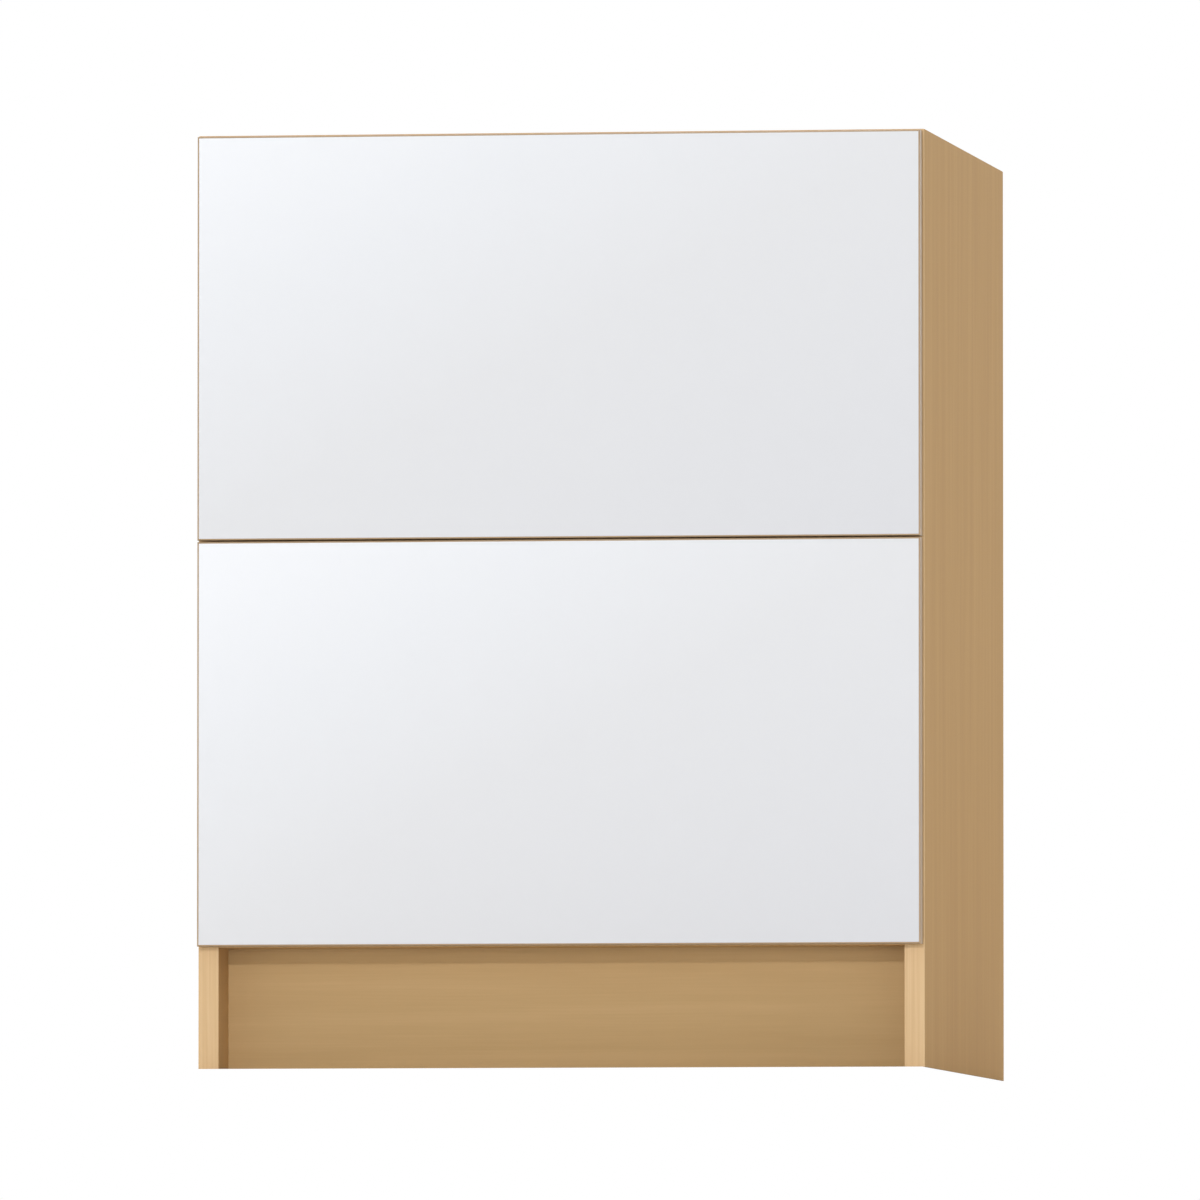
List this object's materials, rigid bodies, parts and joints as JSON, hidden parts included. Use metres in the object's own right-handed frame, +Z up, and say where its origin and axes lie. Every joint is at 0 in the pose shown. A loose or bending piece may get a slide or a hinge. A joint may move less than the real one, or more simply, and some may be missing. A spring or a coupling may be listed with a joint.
{
  "type": "kitchen base cabinet",
  "caption": "Frameless kitchen base cabinet with deep handleless push-to-open drawers, gloss fronts, a wood-tone carcass and a recessed toe space.",
  "frame": {"origin": "on the floor under the middle of the cabinet's outline, fronts closed", "axes": "+Z up, -Y towards the fronts, +X to the right seen from the front"},
  "size_m": [0.686, 0.61, 0.876],
  "materials": {
    "carcass_board": "satin",
    "edge_band": "satin",
    "front_edge_band": "satin",
    "back_hardboard": "matte",
    "gloss_front": "gloss",
    "box_birch": "satin",
    "drawer_bottom": "satin",
    "zinc_steel": "satin",
    "fitting_steel": "satin",
    "latch_plastic": "matte",
    "plunger_plastic": "satin"
  },
  "bodies": {
    "cabinet": {"side_panel_left": "carcass_board", "side_panel_right": "carcass_board", "side_edge_band_left": "edge_band", "side_edge_band_right": "edge_band", "bottom_panel": "carcass_board", "top_rail_front": "carcass_board", "top_rail_rear": "carcass_board", "middle_rail": "carcass_board", "rail_edge_bands": "edge_band", "back_panel": "back_hardboard", "back_rail_upper": "carcass_board", "back_rail_lower": "carcass_board", "toe_kick_board": "carcass_board", "dowels": "box_birch", "cam_bolts": "zinc_steel", "cam_locks": "fitting_steel", "lower_cabinet_rail_left": "zinc_steel", "lower_cabinet_rail_right": "zinc_steel", "upper_cabinet_rail_left": "zinc_steel", "upper_cabinet_rail_right": "zinc_steel", "cabinet_rail_screws": "fitting_steel", "lower_latch_housing": "latch_plastic", "upper_latch_housing": "latch_plastic", "lower_latch_spring": "zinc_steel", "upper_latch_spring": "zinc_steel", "latch_screws": "fitting_steel"},
    "lower_drawer": {"lower_drawer_front": "gloss_front", "lower_front_edge_bands": "front_edge_band", "lower_box_front": "box_birch", "lower_box_back": "box_birch", "lower_box_side_left": "box_birch", "lower_box_side_right": "box_birch", "lower_box_bottom": "drawer_bottom", "lower_drawer_rail_left": "zinc_steel", "lower_drawer_rail_right": "zinc_steel", "lower_drawer_rail_screws": "fitting_steel", "lower_front_screws": "fitting_steel", "lower_strike_plate": "zinc_steel"},
    "lower_intermediate_rails": {"lower_intermediate_rail_left": "zinc_steel", "lower_intermediate_rail_right": "zinc_steel"},
    "lower_outer_cages": {"lower_outer_ball_cages": "fitting_steel"},
    "lower_inner_cages": {"lower_inner_ball_cages": "fitting_steel"},
    "lower_plunger": {"lower_latch_plunger": "plunger_plastic"},
    "upper_drawer": {"upper_drawer_front": "gloss_front", "upper_front_edge_bands": "front_edge_band", "upper_box_front": "box_birch", "upper_box_back": "box_birch", "upper_box_side_left": "box_birch", "upper_box_side_right": "box_birch", "upper_box_bottom": "drawer_bottom", "upper_drawer_rail_left": "zinc_steel", "upper_drawer_rail_right": "zinc_steel", "upper_drawer_rail_screws": "fitting_steel", "upper_front_screws": "fitting_steel", "upper_strike_plate": "zinc_steel"},
    "upper_intermediate_rails": {"upper_intermediate_rail_left": "zinc_steel", "upper_intermediate_rail_right": "zinc_steel"},
    "upper_outer_cages": {"upper_outer_ball_cages": "fitting_steel"},
    "upper_inner_cages": {"upper_inner_ball_cages": "fitting_steel"},
    "upper_plunger": {"upper_latch_plunger": "plunger_plastic"}
  },
  "joints": [
    {"name": "lower_drawer_slide", "type": "slide", "parent": "cabinet", "child": "lower_drawer", "axis": [0, -1, 0], "range_m": [0, 0.533]},
    {"name": "lower_intermediate_slide", "type": "slide", "parent": "cabinet", "child": "lower_intermediate_rails", "axis": [0, -1, 0], "range_m": [0, 0.2666]},
    {"name": "lower_outer_cage_slide", "type": "slide", "parent": "cabinet", "child": "lower_outer_cages", "axis": [0, -1, 0], "range_m": [0, 0.13335]},
    {"name": "lower_inner_cage_slide", "type": "slide", "parent": "cabinet", "child": "lower_inner_cages", "axis": [0, -1, 0], "range_m": [0, 0.39985]},
    {"name": "lower_latch_push", "type": "slide", "parent": "cabinet", "child": "lower_plunger", "axis": [0, -1, 0], "range_m": [0, 0.0201], "deforming": ["lower_latch_spring"]},
    {"name": "upper_drawer_slide", "type": "slide", "parent": "cabinet", "child": "upper_drawer", "axis": [0, -1, 0], "range_m": [0, 0.533]},
    {"name": "upper_intermediate_slide", "type": "slide", "parent": "cabinet", "child": "upper_intermediate_rails", "axis": [0, -1, 0], "range_m": [0, 0.2666]},
    {"name": "upper_outer_cage_slide", "type": "slide", "parent": "cabinet", "child": "upper_outer_cages", "axis": [0, -1, 0], "range_m": [0, 0.13335]},
    {"name": "upper_inner_cage_slide", "type": "slide", "parent": "cabinet", "child": "upper_inner_cages", "axis": [0, -1, 0], "range_m": [0, 0.39985]},
    {"name": "upper_latch_push", "type": "slide", "parent": "cabinet", "child": "upper_plunger", "axis": [0, -1, 0], "range_m": [0, 0.0201], "deforming": ["upper_latch_spring"]}
  ],
  "couplings": [
    {"joint": "lower_intermediate_slide", "follows": "lower_drawer_slide", "ratio": 0.5},
    {"joint": "lower_outer_cage_slide", "follows": "lower_drawer_slide", "ratio": 0.25},
    {"joint": "lower_inner_cage_slide", "follows": "lower_drawer_slide", "ratio": 0.75},
    {"joint": "lower_latch_push", "follows": "lower_drawer_slide", "ratio": 0.037523},
    {"joint": "upper_intermediate_slide", "follows": "upper_drawer_slide", "ratio": 0.5},
    {"joint": "upper_outer_cage_slide", "follows": "upper_drawer_slide", "ratio": 0.25},
    {"joint": "upper_inner_cage_slide", "follows": "upper_drawer_slide", "ratio": 0.75},
    {"joint": "upper_latch_push", "follows": "upper_drawer_slide", "ratio": 0.037523}
  ]
}
